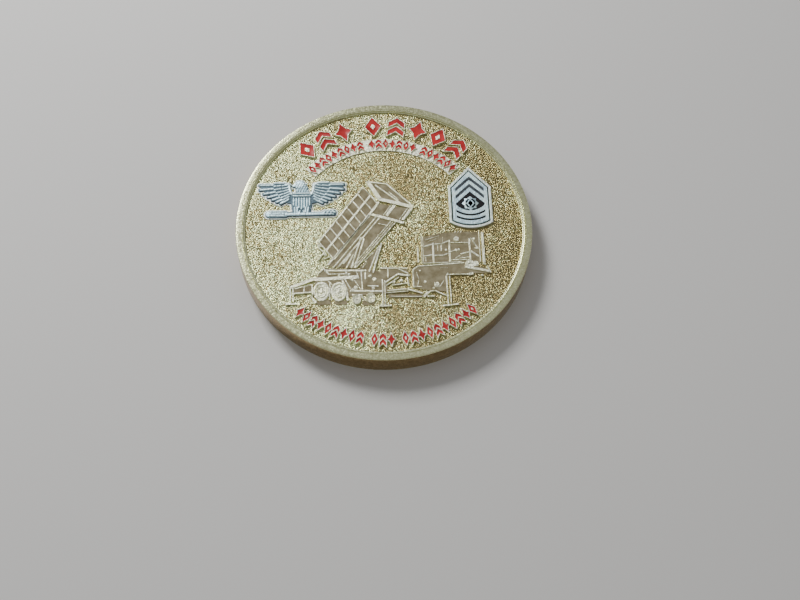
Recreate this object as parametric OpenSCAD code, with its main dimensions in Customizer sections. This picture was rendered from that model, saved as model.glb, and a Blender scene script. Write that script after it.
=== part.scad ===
// Challenge coin: a struck body, two seated silver badges and the enamel in their recesses.
// Origin at the centre of the reverse rim's plane, +Z out of the obverse, +Y to the top of the artwork.

/* [Coin] */
// Outside diameter
coin_d = 50.8; // [50:0.1:54]
// Thickness over both rims
coin_t = 4.0; // [3.4:0.1:6]
// Width of the rim's flat top
rim_w = 1.35; // [1:0.05:1.5]
// Width of the fine step inside the rim
rim_step_w = 0.22; // [0.1:0.02:0.3]
// Depth of each field below its rim
field_depth = 0.45; // [0.4:0.05:0.6]
// Chamfer on the outer edges
edge_chamfer = 0.12; // [0.05:0.01:0.3]

/* [Title ornaments] */
// Height of a title ornament
title_h = 3.7; // [3:0.1:4]
// Width of a title ornament
title_w = 2.7; // [2.4:0.1:3]
// Width of the enamel stroke in the title
title_stroke = 0.72; // [0.5:0.02:0.8]
// Thickness of the gold wall round each title stroke
title_wall = 0.22; // [0.15:0.01:0.25]

/* [Small ornaments] */
// Height of an ornament in the inner upper arc
inner_h = 1.75; // [1.4:0.05:1.8]
// Height of an ornament in the lower arc
lower_h = 2.0; // [1.6:0.05:2.2]
// Width of a small ornament
small_w = 0.92; // [0.8:0.02:1]
// Width of the enamel stroke in a small ornament
small_stroke = 0.26; // [0.2:0.01:0.3]
// Thickness of the gold wall round a small ornament
small_wall = 0.2; // [0.18:0.01:0.24]

/* [Heights above the field] */
// Height of the gold walls round the enamel
wall_lift = 0.36; // [0.3:0.01:0.4]
// Depth of an enamel recess
recess_depth = 0.24; // [0.15:0.01:0.28]
// How far the enamel lies below its walls
enamel_sink = 0.08; // [0.04:0.01:0.12]
// Height of the machine's lowest plates
plate_lift = 0.12; // [0.08:0.01:0.2]
// Height of the machine's bars
bar_lift = 0.24; // [0.22:0.01:0.35]

/* [Reverse] */
// Height of the ring and star on the reverse
reverse_lift = 0.25; // [0.1:0.01:0.35]
// Outer radius of the ring
reverse_ring_r = 18.6; // [14:0.1:21]
// Width of the ring
reverse_ring_w = 0.6; // [0.3:0.1:1.5]
// Size of the star from tip to tip
reverse_star_d = 25; // [12:0.5:26]

/* [Badges] */
// Thickness of the silver badges
badge_t = 0.3; // [0.2:0.01:0.4]
// Height of the gold seat under the bird badge
bird_seat = 0.12; // [0.08:0.01:0.12]
// Height of the gold floor under the chevron badge
chevron_seat = 0.12; // [0.08:0.01:0.12]
// Depth of the black enamel recesses in the chevron badge
black_depth = 0.16; // [0.1:0.01:0.18]

/* [Hidden] */

$fn = 48;
coin_r = coin_d / 2;
rim_r = coin_r - rim_w;
step_r = rim_r - rim_step_w;
field_z = coin_t - field_depth;
root = 0.2;
through = 1;

gold = [0.72, 0.66, 0.44];
silver = [0.72, 0.78, 0.84];
red = [0.72, 0.08, 0.08];
black = [0.04, 0.04, 0.05];

// ---- Arcs of ornaments ----------------------------------------------------------------------

// Clock angles of the title ornaments: three, a gap, then five
title_angles = [-40, -29.6, -19.4, -4.4, 7.2, 18, 28.8, 40];
title_mid_r = coin_r - 4.65;
// Group sizes of the two small arcs, each an arc of cells with a gap between groups
inner_groups = [9, 7, 6];
inner_span = 93;
inner_mid_r = coin_r - 8.4;
// The lower arc is laid out from its right end, so its last group is the left one
lower_groups = [10, 3, 9];
lower_span = 82;
lower_mid_r = coin_r - 3.75;
group_gap = 0.7;
// The band that carries the inner arc
band_in_r = inner_mid_r - inner_h / 2 - 0.55;
band_out_r = inner_mid_r + inner_h / 2 + 0.2;
band_end_angle = inner_span / 2 + 2.4;

// Number of cells before group g
function cells_before(groups, g) = g == 0 ? 0 : groups[g - 1] + cells_before(groups, g - 1);
// Clock angle of cell i of group g
function cell_angle(groups, span, g, i) =
    let (count = cells_before(groups, len(groups)))
    let (pitch = span / (count - 1 + group_gap * (len(groups) - 1)))
    -span / 2 + pitch * (cells_before(groups, g) + i + group_gap * g);

// Puts children at a clock angle and radius, upright at 12 o'clock
module at_clock(angle, r) {
    rotate([0, 0, -angle]) translate([0, r, 0]) children();
}

// A lozenge with half-diagonals a and b, its sides moved out by g
module lozenge(a, b, g) {
    d = sqrt(a * a + b * b);
    polygon([
        [a + g * d / b, 0],
        [0, b + g * d / a],
        [-a - g * d / b, 0],
        [0, -b - g * d / a]
    ]);
}

// A four-pointed star w by h with a narrow waist, grown by g
module star(w, h, waist, g) {
    tip = 2 * g;
    q = waist + g;
    polygon([
        [w / 2 + tip, 0], [q, q], [0, h / 2 + tip], [-q, q],
        [-w / 2 - tip, 0], [-q, -q], [0, -h / 2 - tip], [q, -q]
    ]);
}

// A chevron w wide with its lower ends at y0, v thick upright, its sides moved out by g
module chevron(w, rise, v, y0, g) {
    slope = rise / (w / 2);
    up = g * sqrt(1 + slope * slope);
    end_x = w / 2 + g;
    end_y = y0 - slope * g;
    polygon([
        [-end_x, end_y - up], [0, y0 + rise - up], [end_x, end_y - up],
        [end_x, end_y + v + up], [0, y0 + rise + v + up], [-end_x, end_y + v + up]
    ]);
}

// Enamel shape k (0 lozenge ring, 1 star, 2 double chevron) in a w by h cell
module ornament(k, w, h, stroke, g) {
    rise = h * 0.27;
    if (k == 0) lozenge(w / 2, h / 2, g);
    if (k == 1) star(w, h, stroke * 0.75, g);
    if (k == 2) {
        chevron(w, rise, h / 2 - rise, -h / 2, g);
        chevron(w, rise, h / 2 - rise, 0, g);
    }
}

// The recess or fill of ornament k, from z0 to z1; the middle of a lozenge stays metal
module inlay(k, w, h, stroke, z0, z1) {
    translate([0, 0, z0]) linear_extrude(z1 - z0) difference() {
        ornament(k, w, h, stroke, 0);
        if (k == 0) lozenge(w / 2, h / 2, -stroke);
    }
}

wall_top = field_z + wall_lift;
recess_z = wall_top - recess_depth;
fill_top = wall_top - enamel_sink;

module title_inlay(i, z0, z1) {
    at_clock(title_angles[i], title_mid_r)
        inlay((i * 2) % 3, title_w, title_h, title_stroke, z0, z1);
}

module inner_inlays(g, z0, z1) {
    for (i = [0 : inner_groups[g] - 1])
        at_clock(cell_angle(inner_groups, inner_span, g, i), inner_mid_r)
            inlay((i + g) % 3, small_w, inner_h, small_stroke, z0, z1);
}

module lower_inlays(g, z0, z1) {
    for (i = [0 : lower_groups[g] - 1])
        at_clock(cell_angle(lower_groups, lower_span, g, i), -lower_mid_r)
            inlay((i + g) % 3, small_w, lower_h, small_stroke, z0, z1);
}

// ---- Bird badge -----------------------------------------------------------------------------

bird_x = -14.2;
// Width of the gold seat's edge that shows round the bird
bird_border = 0.22;
feather_count = 7;
feather_w = 0.8;

// A round-ended bar from p to q, grown by g
module rod_2d(p, q, w, g) {
    d = q - p;
    translate(p) rotate(atan2(d[1], d[0])) {
        translate([0, -w / 2 - g]) square([norm(d), w + 2 * g]);
        translate([norm(d), 0]) circle(w / 2 + g);
        circle(w / 2 + g);
    }
}

// Root and tip of feather i of the left wing, from the leading edge down
function feather_root(i) = [-2.3, 8.55 - 0.5 * i];
function feather_tip(i) = feather_root(i) + (5.0 - 0.1 * i * i) * [-cos(5.2 * i), -sin(5.2 * i)];

module bird_wing(g) {
    for (i = [0 : feather_count - 1]) rod_2d(feather_root(i), feather_tip(i), feather_w, g);
    polygon([[-1.6, 5 - g], [-2.6, 4.9 - g], [-5.0, 6.6], [-6.0, 8.2], [-2.6, 8.6], [-1.6, 7.2]]);
}

// The bird as a slab h thick: wings, head, neck, beak, shield, tail and a perch thicker on the left
module bird(h, g) {
    linear_extrude(h) bird_wing(g);
    mirror([1, 0, 0]) linear_extrude(h) bird_wing(g);
    translate([-0.3, 8.6, 0]) cylinder(r = 0.95 + g, h = h);
    linear_extrude(h)
        polygon([[-0.9, 9.1 + g], [-1.85 - g, 8.3], [-1.5 - g, 7.95 - g], [-0.6, 8.0 - g]]);
    linear_extrude(h)
        polygon([[-1.1 - g, 6.6], [-1.15 - g, 8.3], [0.6 + g, 8.8], [1.6 + g, 6.6]]);
    linear_extrude(h) polygon([
        [-1.75 - g, 7 + g], [1.75 + g, 7 + g], [1.75 + g, 4.3], [0, 3.2 - g], [-1.75 - g, 4.3]
    ]);
    linear_extrude(h) polygon([[-2 - g, 5.2], [2 + g, 5.2], [1.6 + g, 2.7], [-1.6 - g, 2.7]]);
    linear_extrude(h) rod_2d([-5.6, 2.6], [5.6, 2.6], 1.0, g);
    linear_extrude(h) rod_2d([-5.6, 2.6], [-2.8, 2.6], 1.5, g);
}

module at_bird(z) {
    translate([bird_x, 0, z]) children();
}

// ---- Chevron badge --------------------------------------------------------------------------

badge_x = 15.05;
badge_half_w = 3.2;
badge_shoulder_y = 7.4;
badge_apex_y = 10.95;
// Every arc of the badge is drawn about one centre
badge_arc_y = 6;
badge_base_r = 6.15;
badge_base_y = badge_arc_y - sqrt(badge_base_r * badge_base_r - badge_half_w * badge_half_w);
badge_wall = 0.55;
badge_gap = 0.12;
mark_half_w = 2.5;
rocker_w = 0.36;
lens_y = 4.2;

module badge_outline(g) {
    slope = (badge_apex_y - badge_shoulder_y) / badge_half_w;
    up = g * sqrt(1 + slope * slope);
    hw = badge_half_w + g;
    polygon([
        [-hw, badge_base_y], [hw, badge_base_y],
        [hw, badge_shoulder_y - slope * g + up],
        [0, badge_apex_y + up],
        [-hw, badge_shoulder_y - slope * g + up]
    ]);
    intersection() {
        translate([0, badge_arc_y]) circle(badge_base_r + g);
        translate([-hw, -2]) square([2 * hw, badge_base_y + 2.01]);
    }
}

module lens_2d() {
    polygon([[-mark_half_w, lens_y], [mark_half_w, lens_y], [0, 6.6]]);
    intersection() {
        translate([0, badge_arc_y]) circle(badge_arc_y - 2.75);
        translate([-mark_half_w, 2]) square([2 * mark_half_w, lens_y - 1.99]);
    }
}

// Plain rosette with an open lozenge, left in metal in the middle of the lens
module rosette_2d() {
    translate([0, lens_y]) difference() {
        union() {
            star(3.0, 3.0, 0.75, 0);
            rotate(45) star(2.9, 2.9, 0.7, 0);
        }
        lozenge(0.34, 0.45, 0);
    }
}

module rocker_2d(r) {
    intersection() {
        translate([0, badge_arc_y]) difference() {
            circle(r + rocker_w / 2);
            circle(r - rocker_w / 2);
        }
        translate([-mark_half_w, 0]) square([2 * mark_half_w, 4]);
    }
}

// Black area m of the badge: 0 and 1 the chevrons, 2 the lens, 3 and 4 the rockers
module black_mark(m) {
    if (m == 0) chevron(2 * mark_half_w, 2.4, 0.7, 6.6, 0);
    if (m == 1) chevron(2 * mark_half_w, 2.4, 0.7, 5.1, 0);
    if (m == 2) difference() {
        lens_2d();
        rosette_2d();
    }
    if (m == 3) rocker_2d(4.15);
    if (m == 4) rocker_2d(5.1);
}

badge_top = field_z + chevron_seat + badge_t;

module black_inlay(m, z0, z1) {
    translate([badge_x, 0, z0]) linear_extrude(z1 - z0) black_mark(m);
}

// ---- Relief of the machine ------------------------------------------------------------------

// Raised bar from p to q
module bar(p, q, w, h) {
    d = q - p;
    translate([p[0], p[1], field_z - root]) rotate([0, 0, atan2(d[1], d[0])])
        translate([0, -w / 2, 0]) cube([norm(d), w, h + root]);
}

// Raised plate with the given corners
module plate(points, h) {
    translate([0, 0, field_z - root]) linear_extrude(h + root) polygon(points);
}

// Raised disc
module boss(p, r, h) {
    translate([p[0], p[1], field_z - root]) cylinder(r = r, h = h + root);
}

// The canister's long side: along runs from its upper end down, across from its far edge
canister_origin = [-3.55, 7.9];
canister_along = [-0.575, -0.818];
canister_across = [0.59, -0.807];
canister_len = 13.3;
canister_w = 4.3;
canister_rows = 8;
function on_canister(a, b) = canister_origin + a * canister_along + b * canister_across;

module canister() {
    plate([on_canister(0, 0), on_canister(0, canister_w),
           on_canister(canister_len, canister_w), on_canister(canister_len, 0)], plate_lift);
    for (b = [0, canister_w / 2, canister_w])
        bar(on_canister(-0.1, b), on_canister(canister_len, b), 0.42, bar_lift);
    for (i = [0 : canister_rows])
        bar(on_canister(canister_len * i / canister_rows, 0),
            on_canister(canister_len * i / canister_rows, canister_w), 0.3, bar_lift);
    // Mouth: a collar round the upper end, and the end face with its panels
    plate([[-2.8, 9.1], [0.6, 8.5], [5.2, 3.7], [-0.6, 5.3]], plate_lift);
    bar([-2.8, 9.1], [-0.6, 5.3], 0.75, bar_lift + 0.06);
    bar([-0.8, 5.4], [5.1, 3.65], 0.7, bar_lift + 0.06);
    bar([-2.6, 9.0], [0.6, 8.5], 0.3, bar_lift);
    bar([0.5, 8.6], [5.1, 3.8], 0.34, bar_lift);
    bar([-1.5, 8.4], [2.9, 4.6], 0.3, bar_lift);
    plate([[-1.3, 4.6], [5.0, 3.4], [3.05, 0.95], [-2.4, 2.5]], plate_lift);
    bar([-0.8, 4.9], [-2.5, 2.3], 0.42, bar_lift);
    bar([1.9, 4.2], [0.4, 2.0], 0.6, bar_lift);
    bar([4.9, 3.6], [3.2, 1.1], 0.5, bar_lift);
    bar([-2.5, 2.4], [3.4, 0.5], 0.55, bar_lift + 0.06);
}

module rails() {
    plate([[-2.4, 2.3], [2.1, 0.8], [-4.9, -8.2], [-9.8, -7.7]], plate_lift);
    bar([-2.3, 2.4], [-9.7, -7.6], 0.5, bar_lift);
    bar([-1.3, 1.9], [-8.8, -8.1], 0.34, bar_lift);
    bar([-0.75, 1.7], [-8.0, -8.1], 0.34, bar_lift);
    bar([1.45, 1.0], [-5.5, -8.1], 0.3, bar_lift);
    bar([2.0, 0.8], [-4.9, -8.1], 0.3, bar_lift);
    // Lifting struts
    bar([-3.8, -2.2], [-5.4, -8.2], 0.8, bar_lift + 0.06);
    bar([-0.7, -3.6], [-2.4, -9.0], 0.9, bar_lift + 0.06);
    bar([-5.5, -5.5], [-6.8, -8.2], 0.6, bar_lift);
    bar([-3.1, -5.9], [-3.9, -8.2], 0.3, bar_lift);
}

module wheel(p, r) {
    boss(p, r, bar_lift);
    boss(p, r * 0.55, bar_lift + 0.08);
}

module trailer() {
    // Rear arm, rear leg and tail box
    bar([-15.8, -11.6], [-11.7, -10.1], 0.75, bar_lift);
    bar([-15.7, -11.3], [-15.7, -14.7], 0.7, bar_lift);
    bar([-16.6, -14.8], [-14.9, -14.8], 0.45, bar_lift);
    plate([[-15.3, -13.2], [-12.2, -12.9], [-12.2, -11.4], [-15.3, -12.0]], plate_lift);
    bar([-15.3, -12.8], [-12.2, -12.7], 0.3, bar_lift);
    // Deck and chassis
    plate([[-11.9, -12.4], [-11.9, -10.1], [-10.1, -8.1], [-3.4, -8.3], [0.3, -9.0], [0.3, -13.0], [-6.5, -13.6]],
          plate_lift);
    bar([-11.7, -10.3], [-4.6, -10.0], 0.75, bar_lift);
    bar([-10.3, -8.6], [-3.2, -8.7], 0.4, bar_lift);
    bar([-7.2, -10.2], [-5.9, -12.6], 0.45, bar_lift);
    bar([-6.0, -12.5], [-0.3, -12.7], 0.5, bar_lift);
    // Wheels, two in front and two behind
    for (x = [-10.95, -8.05]) wheel([x, -12.8], 1.55);
    for (x = [-4.9, -2.5]) wheel([x, -13.9], 1.05);
    // Middle leg
    bar([-0.35, -10.6], [-0.35, -15.4], 0.6, bar_lift);
    bar([-1.1, -15.4], [0.8, -15.4], 0.4, bar_lift);
    // Drawbar and fender
    bar([-0.2, -11.0], [2.4, -9.3], 0.5, bar_lift);
    bar([2.4, -9.3], [4.4, -9.7], 0.6, bar_lift);
    bar([0.0, -13.0], [3.8, -12.5], 0.4, bar_lift);
    bar([3.8, -12.5], [6.2, -13.4], 0.4, bar_lift);
    bar([0.8, -13.6], [6.0, -13.7], 0.5, plate_lift);
}

module cab() {
    // Lower body
    plate([[4.6, -12.1], [4.6, -8.7], [5.3, -8.1], [13.4, -7.5], [17.4, -8.7], [17.9, -9.5],
           [10.6, -9.5], [10.2, -12.9], [6.5, -12.5]], plate_lift);
    bar([4.65, -12.1], [4.65, -8.6], 0.3, bar_lift);
    bar([4.6, -8.7], [5.4, -8.1], 0.3, bar_lift);
    bar([5.3, -8.05], [13.4, -7.5], 0.3, bar_lift);
    bar([13.4, -7.6], [17.5, -8.9], 0.7, bar_lift + 0.06);
    bar([10.6, -9.6], [14.6, -9.6], 0.36, bar_lift);
    bar([10.4, -9.8], [10.6, -15.3], 0.75, bar_lift);
    bar([9.6, -15.5], [11.9, -15.5], 0.4, bar_lift);
    bar([6.2, -13.8], [7.4, -12.7], 0.6, bar_lift);
    bar([7.4, -12.7], [10.0, -13.4], 0.4, bar_lift);
    boss([8.55, -11.45], 0.48, bar_lift);
    boss([14.3, -7.9], 0.95, bar_lift + 0.08);
    // Upper box with its window bars
    plate([[6.3, -7.4], [6.3, -2.4], [9.2, -1.6], [12.5, -1.3], [16.3, -1.4], [16.3, -7.4]], plate_lift);
    bar([6.3, -7.6], [6.3, -2.2], 0.28, bar_lift);
    bar([16.6, -8.0], [16.6, -1.4], 0.7, bar_lift);
    for (x = [8.25, 11, 14.5]) bar([x, -7.5], [x, -3.4], 0.4, bar_lift);
    bar([6.3, -4.2], [8.25, -3.75], 0.26, bar_lift);
    bar([8.25, -3.8], [11, -3.2], 0.26, bar_lift);
    bar([11, -3.4], [14.5, -3.5], 0.26, bar_lift);
    bar([6.3, -6.2], [16.3, -5.9], 0.3, bar_lift);
    bar([14.5, -3.4], [15.9, -5.4], 0.3, bar_lift);
    boss([12.2, -2.8], 0.42, bar_lift);
}

// ---- The pieces -----------------------------------------------------------------------------

// Turned outline of the struck blank: both rims, their fine steps and both fields
module blank() {
    half_step = field_depth / 2;
    rotate_extrude($fn = 96) polygon([
        [0, field_depth], [step_r, field_depth], [step_r, half_step], [rim_r, half_step],
        [rim_r, 0], [coin_r - edge_chamfer, 0], [coin_r, edge_chamfer],
        [coin_r, coin_t - edge_chamfer], [coin_r - edge_chamfer, coin_t], [rim_r, coin_t],
        [rim_r, coin_t - half_step], [step_r, coin_t - half_step], [step_r, field_z], [0, field_z]
    ]);
}

// Raised ring and compass star on the reverse field
module reverse_relief() {
    h = reverse_lift + root;
    translate([0, 0, field_depth - reverse_lift]) {
        difference() {
            cylinder(r = reverse_ring_r, h = h, $fn = 96);
            translate([0, 0, -through])
                cylinder(r = reverse_ring_r - reverse_ring_w, h = h + 2 * through, $fn = 96);
        }
        linear_extrude(h) star(reverse_star_d, reverse_star_d, reverse_star_d * 0.09, 0);
        rotate([0, 0, 45]) linear_extrude(h)
            star(reverse_star_d * 0.66, reverse_star_d * 0.66, reverse_star_d * 0.08, 0);
    }
}

// Raised band under the inner arc, cut to its span
module inner_band() {
    reach = band_out_r + 2;
    translate([0, 0, field_z - root]) linear_extrude(wall_lift + root) intersection() {
        difference() {
            circle(band_out_r, $fn = 96);
            circle(band_in_r, $fn = 96);
        }
        polygon([
            [0, 0],
            [-reach * sin(band_end_angle), reach * cos(band_end_angle)],
            [-reach * sin(band_end_angle), reach * 1.5],
            [reach * sin(band_end_angle), reach * 1.5],
            [reach * sin(band_end_angle), reach * cos(band_end_angle)]
        ]);
    }
}

// Gold walls round the title and the lower arc
module walls() {
    for (i = [0 : len(title_angles) - 1])
        at_clock(title_angles[i], title_mid_r) translate([0, 0, field_z - root])
            linear_extrude(wall_lift + root)
                ornament((i * 2) % 3, title_w, title_h, title_stroke, title_wall);
    for (g = [0 : len(lower_groups) - 1], i = [0 : lower_groups[g] - 1])
        at_clock(cell_angle(lower_groups, lower_span, g, i), -lower_mid_r)
            translate([0, 0, field_z - root]) linear_extrude(wall_lift + root)
                ornament((i + g) % 3, small_w, lower_h, small_stroke, small_wall);
}

module badge_seats() {
    at_bird(field_z - root) bird(bird_seat + root, bird_border);
    translate([badge_x, 0, field_z - root]) difference() {
        linear_extrude(wall_lift + root) badge_outline(badge_wall);
        translate([0, 0, chevron_seat + root]) linear_extrude(wall_lift) badge_outline(badge_gap);
    }
}

module coin_body() {
    color(gold) difference() {
        union() {
            blank();
            reverse_relief();
            inner_band();
            walls();
            badge_seats();
            canister();
            rails();
            trailer();
            cab();
        }
        for (i = [0 : len(title_angles) - 1]) title_inlay(i, recess_z, wall_top + through);
        for (g = [0 : len(inner_groups) - 1]) inner_inlays(g, recess_z, wall_top + through);
        for (g = [0 : len(lower_groups) - 1]) lower_inlays(g, recess_z, wall_top + through);
    }
}

module eagle_badge() {
    color(silver) at_bird(field_z + bird_seat) bird(badge_t, 0);
}

module chevron_badge() {
    color(silver) difference() {
        translate([badge_x, 0, field_z + chevron_seat]) linear_extrude(badge_t) badge_outline(0);
        for (m = [0 : 4]) black_inlay(m, badge_top - black_depth, badge_top + through);
    }
}

module badge_enamel(m) {
    color(black) black_inlay(m, badge_top - black_depth, badge_top - enamel_sink / 2);
}

module title_enamel(i) {
    color(red) title_inlay(i, recess_z, fill_top);
}

module upper_legend_enamel(g) {
    color(red) inner_inlays(g, recess_z, fill_top);
}

module lower_legend_enamel(g) {
    color(red) lower_inlays(g, recess_z, fill_top);
}

coin_body();
eagle_badge();
chevron_badge();
badge_enamel(0);  // upper_chevron_enamel
badge_enamel(1);  // lower_chevron_enamel
badge_enamel(2);  // lens_enamel
badge_enamel(3);  // upper_rocker_enamel
badge_enamel(4);  // lower_rocker_enamel
title_enamel(0);  // title_enamel_1
title_enamel(1);  // title_enamel_2
title_enamel(2);  // title_enamel_3
title_enamel(3);  // title_enamel_4
title_enamel(4);  // title_enamel_5
title_enamel(5);  // title_enamel_6
title_enamel(6);  // title_enamel_7
title_enamel(7);  // title_enamel_8
upper_legend_enamel(0);  // upper_legend_enamel_left
upper_legend_enamel(1);  // upper_legend_enamel_middle
upper_legend_enamel(2);  // upper_legend_enamel_right
lower_legend_enamel(2);  // lower_legend_enamel_left
lower_legend_enamel(1);  // lower_legend_enamel_middle
lower_legend_enamel(0);  // lower_legend_enamel_right
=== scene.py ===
"""Challenge coin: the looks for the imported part, built from the struck body outwards."""

import math

import bpy
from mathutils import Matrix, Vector


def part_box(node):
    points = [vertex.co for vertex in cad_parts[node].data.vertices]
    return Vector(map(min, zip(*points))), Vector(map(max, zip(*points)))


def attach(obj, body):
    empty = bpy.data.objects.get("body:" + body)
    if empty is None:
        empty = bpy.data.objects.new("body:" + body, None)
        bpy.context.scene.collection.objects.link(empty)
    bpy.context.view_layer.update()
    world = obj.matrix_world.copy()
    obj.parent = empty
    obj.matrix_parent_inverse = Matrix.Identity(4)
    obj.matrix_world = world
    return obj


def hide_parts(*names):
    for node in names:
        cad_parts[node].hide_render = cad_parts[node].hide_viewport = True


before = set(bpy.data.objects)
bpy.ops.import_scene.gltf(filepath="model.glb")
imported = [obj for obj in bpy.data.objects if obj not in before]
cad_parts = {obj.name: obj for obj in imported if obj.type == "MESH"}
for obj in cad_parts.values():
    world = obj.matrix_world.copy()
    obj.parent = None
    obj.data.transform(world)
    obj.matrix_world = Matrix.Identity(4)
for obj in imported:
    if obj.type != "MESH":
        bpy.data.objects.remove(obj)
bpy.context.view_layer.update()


# ------------------------------------------------------------
# The struck body: one disc of brass-like alloy pressed between two dies in a plain collar, so the
# edge is smooth and each face has a raised rim, a fine step inside it and a sunk field. The dies'
# fields were sand-blasted. The whole disc is plated pale gold.
# ------------------------------------------------------------
MM = 0.001
body_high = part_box("coin_body")[1]
coin_r = body_high.x
coin_t = body_high.z
rim_w = 1.35 * MM
step_w = 0.22 * MM
field_depth = 0.45 * MM
rim_r = coin_r - rim_w
step_r = rim_r - step_w
field_z = coin_t - field_depth
sunk = 0.08 * MM
touching = 0.001 * MM


def only(*pieces):
    """Selects these pieces alone, the first of them active."""
    bpy.ops.object.select_all(action="DESELECT")
    for piece in pieces:
        piece.select_set(True)
    bpy.context.view_layer.objects.active = pieces[0]


def open_mesh(piece, select="SELECT"):
    """Puts one piece in edit mode with all or none of it selected."""
    only(piece)
    bpy.ops.object.mode_set(mode="EDIT")
    bpy.ops.mesh.select_all(action=select)


def apply_place():
    """Leaves the selected piece at the origin, unturned and unscaled."""
    bpy.ops.object.transform_apply(location=True, rotation=True, scale=True)


def close_mesh(merge=0.0):
    """Leaves edit mode with clean outward faces."""
    bpy.ops.mesh.select_all(action="SELECT")
    if merge:
        bpy.ops.mesh.remove_doubles(threshold=merge)
    bpy.ops.mesh.normals_make_consistent(inside=False)
    bpy.ops.object.mode_set(mode="OBJECT")


def smooth(piece, degrees):
    """Shades a piece smooth, but for the edges that are sharper than this."""
    only(piece)
    bpy.ops.object.shade_smooth_by_angle(angle=math.radians(degrees))


def rounded(piece, width, segments=2):
    """Rounds a piece's sharp edges, keeps its flats flat, and applies it."""
    sharp = 35
    smooth(piece, sharp)
    edge = piece.modifiers.new("rounded_edges", "BEVEL")
    edge.width = width
    edge.segments = segments
    edge.limit_method = "ANGLE"
    edge.angle_limit = math.radians(sharp)
    edge.harden_normals = True
    bpy.ops.object.modifier_apply(modifier=edge.name)
    return piece


def joined(name, pieces):
    """Makes one piece of several."""
    only(*pieces)
    bpy.ops.object.join()
    pieces[0].name = name
    return pieces[0]


def turned(name, profile, steps):
    """A piece turned about Z from its profile of (radius, height) points."""
    start = Vector((profile[0][0], 0, profile[0][1]))
    bpy.ops.object.select_all(action="DESELECT")
    bpy.ops.mesh.primitive_plane_add(size=1 * MM, location=start)
    piece = bpy.context.active_object
    piece.name = name
    apply_place()
    open_mesh(piece)
    bpy.ops.mesh.merge(type="CENTER")
    for (r0, z0), (r1, z1) in zip(profile, profile[1:]):
        bpy.ops.mesh.extrude_region_move(
            TRANSFORM_OT_translate={"value": (r1 - r0, 0, z1 - z0)}
        )
    bpy.ops.mesh.select_all(action="SELECT")
    bpy.ops.mesh.spin(steps=steps, angle=2 * math.pi, center=(0, 0, 0), axis=(0, 0, 1))
    close_mesh(merge=touching)
    return piece


def corner(r, z, radius, start, stop, count=4):
    """Points of a rounded corner about (r, z), its angles in degrees."""
    angles = [math.radians(start + (stop - start) * i / count) for i in range(count + 1)]
    return [(r + radius * math.cos(a), z + radius * math.sin(a)) for a in angles]


def face_profile():
    """One face of the disc from its middle to its edge, as (radius, depth below the rim)."""
    soft = 0.035 * MM
    edge_soft = 0.14 * MM
    groove_r = rim_r + 0.26 * MM
    groove = 0.07 * MM
    return (
        [(0, field_depth), (step_r * 0.5, field_depth), (step_r - 3 * soft, field_depth)]
        + corner(step_r - soft, field_depth - soft, soft, 90, 0, 3)
        + corner(step_r + soft, field_depth / 2 + soft, soft, 180, 270, 3)
        + corner(rim_r - soft, field_depth / 2 - soft, soft, 90, 0, 3)
        + corner(rim_r + 2 * soft, 2 * soft, 2 * soft, 180, 270, 3)
        + [(groove_r - groove, 0), (groove_r, groove), (groove_r + groove, 0)]
        + [(rim_r + 0.6 * rim_w, 0)]
        + corner(coin_r - edge_soft, edge_soft, edge_soft, -90, 0, 5)
    )


obverse_half = [(r, coin_t - depth) for r, depth in face_profile()]
reverse_half = [(r, depth) for r, depth in reversed(face_profile())]
body = turned("struck_body", obverse_half + reverse_half, 256)
smooth(body, 40)
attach(body, "root")
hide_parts("coin_body")


def metal(name, colour, roughness):
    """A plated metal, with its shader's plain values set on its own sockets."""
    material = bpy.data.materials.new(name)
    material.use_nodes = True
    shader = material.node_tree.nodes["Principled BSDF"]
    shader.inputs["Metallic"].default_value = 1.0
    shader.inputs["Base Color"].default_value = (*colour, 1)
    shader.inputs["Roughness"].default_value = roughness
    return material


def texture(material, kind, scale, detail):
    """A noise or cell texture on object coordinates, its scale in features per metre."""
    tree = material.node_tree
    place = tree.nodes.get("Texture Coordinate") or tree.nodes.new("ShaderNodeTexCoord")
    node = tree.nodes.new("ShaderNodeTexNoise" if kind == "noise" else "ShaderNodeTexVoronoi")
    tree.links.new(place.outputs["Object"], node.inputs["Vector"])
    node.inputs["Scale"].default_value = scale
    node.inputs["Detail"].default_value = detail
    return node


def spread(material, source, socket, stops):
    """Sends a value through a ramp of (position, colour) stops to a shader socket."""
    tree = material.node_tree
    ramp = tree.nodes.new("ShaderNodeValToRGB")
    points = ramp.color_ramp.elements
    while len(points) < len(stops):
        points.new(0.5)
    for point, (position, colour) in zip(points, stops):
        point.position = position
        point.color = (*colour, 1)
    tree.links.new(source, ramp.inputs["Fac"])
    tree.links.new(ramp.outputs["Color"], tree.nodes["Principled BSDF"].inputs[socket])


def grain(material, source, height, strength):
    """Adds a bump of this height in metres, on top of any bump that is there."""
    tree = material.node_tree
    shader = tree.nodes["Principled BSDF"]
    bump = tree.nodes.new("ShaderNodeBump")
    bump.inputs["Distance"].default_value = height
    bump.inputs["Strength"].default_value = strength
    earlier = shader.inputs["Normal"].links
    if earlier:
        tree.links.new(earlier[0].from_socket, bump.inputs["Normal"])
    tree.links.new(source, bump.inputs["Height"])
    tree.links.new(bump.outputs["Normal"], shader.inputs["Normal"])


def node_between(material, kind, source):
    """A node of this kind with this source linked to its first socket."""
    node = material.node_tree.nodes.new(kind)
    material.node_tree.links.new(source, node.inputs[0])
    return node


def sum_of(material, source, share, added):
    """One texture times its share, plus another."""
    node = node_between(material, "ShaderNodeMath", source)
    node.operation = "MULTIPLY_ADD"
    node.inputs[1].default_value = share
    material.node_tree.links.new(added, node.inputs[2])
    return node


def grey(value):
    """A ramp colour that stands for one plain value."""
    return (value, value, value)


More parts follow.
